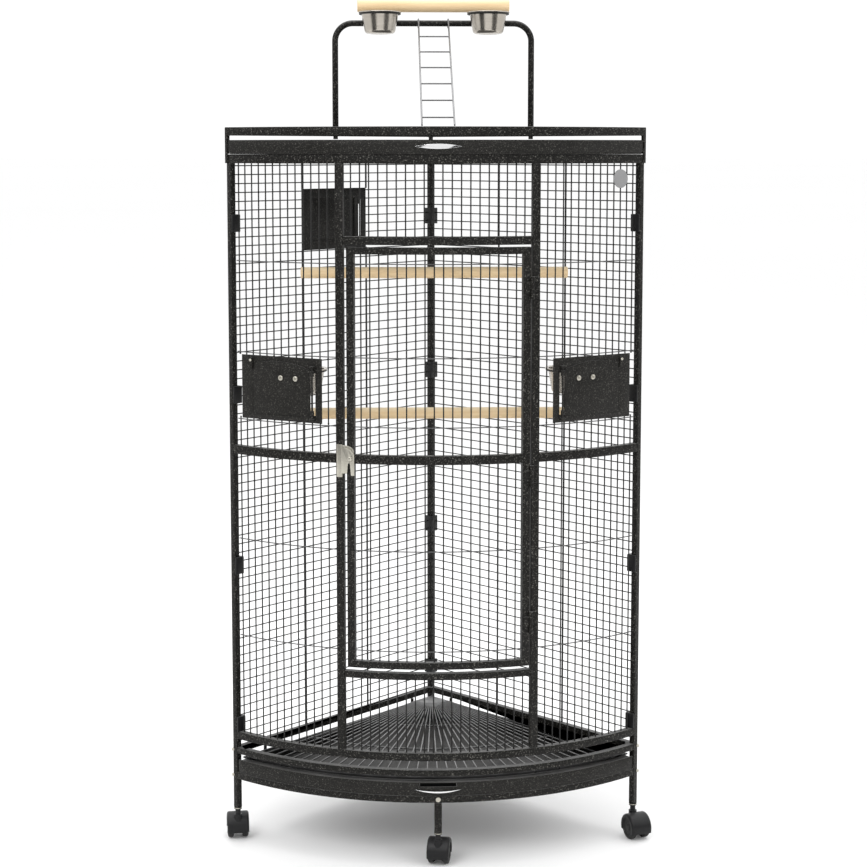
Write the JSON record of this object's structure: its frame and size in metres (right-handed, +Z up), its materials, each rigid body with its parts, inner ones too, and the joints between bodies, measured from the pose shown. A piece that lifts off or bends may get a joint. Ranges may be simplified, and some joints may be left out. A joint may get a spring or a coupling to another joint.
{
  "type": "corner bird cage on casters",
  "caption": "Tall corner parrot cage: curved wire front with a latched door, swing-out feeders, pull-out trays, play top with arch, perch, cups and ladder, on swivel casters.",
  "frame": {"origin": "on the floor, under the middle of the bounding box", "axes": "+Z up, -Y towards the curved front, +X to the right of someone facing the front"},
  "size_m": [0.9017, 0.6057, 1.7746],
  "materials": {
    "powder_coat": "hammered charcoal powder coat",
    "wire": "powder-coated wire",
    "wood": "plain sanded dowel",
    "stainless": "spun stainless steel",
    "bright_steel": "polished",
    "zinc": "zinc plated",
    "black_plastic": "moulded nylon",
    "tag_plastic": "plain disc"
  },
  "bodies": {
    "root": {"back_wires_left_lower": "wire", "back_wires_left_sides": "wire", "back_wires_left_upper": "wire", "back_wires_right": "wire", "base_lower_ring": "powder_coat", "base_upper_ring": "powder_coat", "cage_top_ring": "powder_coat", "corner_posts": "powder_coat", "door_hardware": "zinc", "door_posts": "powder_coat", "door_sill_and_header": "powder_coat", "feeder_plate_left": "powder_coat", "feeder_plate_rear": "powder_coat", "feeder_plate_right": "powder_coat", "frame_bolts": "zinc", "front_bottom_rail": "powder_coat", "front_leg": "powder_coat", "front_mid_rails": "powder_coat", "front_wires_feeder_sides": "wire", "front_wires_left_lower": "wire", "front_wires_left_upper": "wire", "front_wires_over_door": "wire", "front_wires_right_lower": "wire", "front_wires_right_upper": "wire", "front_wires_under_door": "wire", "grate_runners": "powder_coat", "inner_perches": "wood", "panel_connectors": "black_plastic", "play_arch": "powder_coat", "play_cup_rings": "wire", "play_perch": "wood", "roof_grille": "wire", "roof_ring": "powder_coat", "tag_disc": "tag_plastic"},
    "main_door": {"door_frame": "powder_coat", "door_wires": "wire"},
    "latch": {"door_latch": "zinc"},
    "feeder_door_left": {"feeder_flap_left": "powder_coat", "cup_ring_left": "wire"},
    "feeder_cup_left": {"feeder_cup_left": "stainless"},
    "play_cup_left": {"play_cup_left": "stainless"},
    "feeder_door_right": {"feeder_flap_right": "powder_coat", "cup_ring_right": "wire"},
    "feeder_cup_right": {"feeder_cup_right": "stainless"},
    "play_cup_right": {"play_cup_right": "stainless"},
    "feeder_door_rear": {"feeder_flap_rear": "powder_coat"},
    "roof_tray": {"roof_tray": "powder_coat", "roof_tray_handle": "bright_steel"},
    "base_tray": {"base_tray": "powder_coat", "base_tray_handle": "bright_steel"},
    "floor_grate": {"floor_grate": "wire"},
    "ladder": {"ladder": "wire"},
    "caster_yoke_left": {"caster_yoke_left": "black_plastic"},
    "caster_wheels_left": {"caster_wheels_left": "black_plastic"},
    "caster_yoke_right": {"caster_yoke_right": "black_plastic"},
    "caster_wheels_right": {"caster_wheels_right": "black_plastic"},
    "caster_yoke_front": {"caster_yoke_front": "black_plastic"},
    "caster_wheels_front": {"caster_wheels_front": "black_plastic"},
    "caster_yoke_rear": {"caster_yoke_rear": "black_plastic"},
    "caster_wheels_rear": {"caster_wheels_rear": "black_plastic"}
  },
  "joints": [
    {"name": "main_door_hinge", "type": "hinge", "parent": "root", "child": "main_door", "pos_m": [0.18855, -0.26772, 0.828], "axis": [0, 0, 1], "range_deg": [0, 110]},
    {"name": "latch_turn", "type": "hinge", "parent": "main_door", "child": "latch", "pos_m": [-0.1752, -0.26716, 0.838], "axis": [-0.2689, -0.9632, 0], "range_deg": [0, 95]},
    {"name": "feeder_hatch_left", "type": "hinge", "parent": "root", "child": "feeder_door_left", "pos_m": [-0.25199, -0.24668, 0.9715], "axis": [0, 0, 1], "range_deg": [0, 100]},
    {"name": "feeder_hatch_right", "type": "hinge", "parent": "root", "child": "feeder_door_right", "pos_m": [0.25199, -0.24668, 0.9715], "axis": [0, 0, -1], "range_deg": [0, 100]},
    {"name": "feeder_hatch_rear", "type": "hinge", "parent": "root", "child": "feeder_door_rear", "pos_m": [-0.16554, 0.13427, 1.305], "axis": [0, 0, -1], "range_deg": [0, 100]},
    {"name": "feeder_cup_lift_left", "type": "slide", "parent": "feeder_door_left", "child": "feeder_cup_left", "axis": [0, 0, 1], "range_m": [0, 0.06]},
    {"name": "play_cup_lift_left", "type": "slide", "parent": "root", "child": "play_cup_left", "axis": [0, 0, 1], "range_m": [0, 0.06]},
    {"name": "feeder_cup_lift_right", "type": "slide", "parent": "feeder_door_right", "child": "feeder_cup_right", "axis": [0, 0, 1], "range_m": [0, 0.06]},
    {"name": "play_cup_lift_right", "type": "slide", "parent": "root", "child": "play_cup_right", "axis": [0, 0, 1], "range_m": [0, 0.06]},
    {"name": "roof_tray_slide", "type": "slide", "parent": "root", "child": "roof_tray", "axis": [0, -1, 0], "range_m": [0, 0.4]},
    {"name": "base_tray_slide", "type": "slide", "parent": "root", "child": "base_tray", "axis": [0, -1, 0], "range_m": [0, 0.4]},
    {"name": "floor_grate_slide", "type": "slide", "parent": "root", "child": "floor_grate", "axis": [0, -1, 0], "range_m": [0, 0.4]},
    {"name": "ladder_lift", "type": "hinge", "parent": "root", "child": "ladder", "pos_m": [0, 0.08478, 1.7235], "axis": [-1, 0, 0], "range_deg": [0, 60]},
    {"name": "caster_swivel_left", "type": "hinge", "parent": "root", "child": "caster_yoke_left", "pos_m": [-0.419, -0.13021, 0.07], "axis": [0, 0, 1], "continuous": true},
    {"name": "caster_roll_left", "type": "hinge", "parent": "caster_yoke_left", "child": "caster_wheels_left", "pos_m": [-0.42095, -0.11433, 0.025], "axis": [-0.9925, -0.1219, 0], "continuous": true},
    {"name": "caster_swivel_right", "type": "hinge", "parent": "root", "child": "caster_yoke_right", "pos_m": [0.419, -0.13021, 0.07], "axis": [0, 0, 1], "continuous": true},
    {"name": "caster_roll_right", "type": "hinge", "parent": "caster_yoke_right", "child": "caster_wheels_right", "pos_m": [0.42473, -0.14515, 0.025], "axis": [0.9336, 0.3584, 0], "continuous": true},
    {"name": "caster_swivel_front", "type": "hinge", "parent": "root", "child": "caster_yoke_front", "pos_m": [0, -0.28481, 0.07], "axis": [0, 0, 1], "continuous": true},
    {"name": "caster_roll_front", "type": "hinge", "parent": "caster_yoke_front", "child": "caster_wheels_front", "pos_m": [0.00278, -0.26906, 0.025], "axis": [-0.9848, 0.1736, 0], "continuous": true},
    {"name": "caster_swivel_rear", "type": "hinge", "parent": "root", "child": "caster_yoke_rear", "pos_m": [0, 0.28879, 0.07], "axis": [0, 0, 1], "continuous": true},
    {"name": "caster_roll_rear", "type": "hinge", "parent": "caster_yoke_rear", "child": "caster_wheels_rear", "pos_m": [0, 0.27278, 0.025], "axis": [1, 0, 0], "continuous": true}
  ]
}
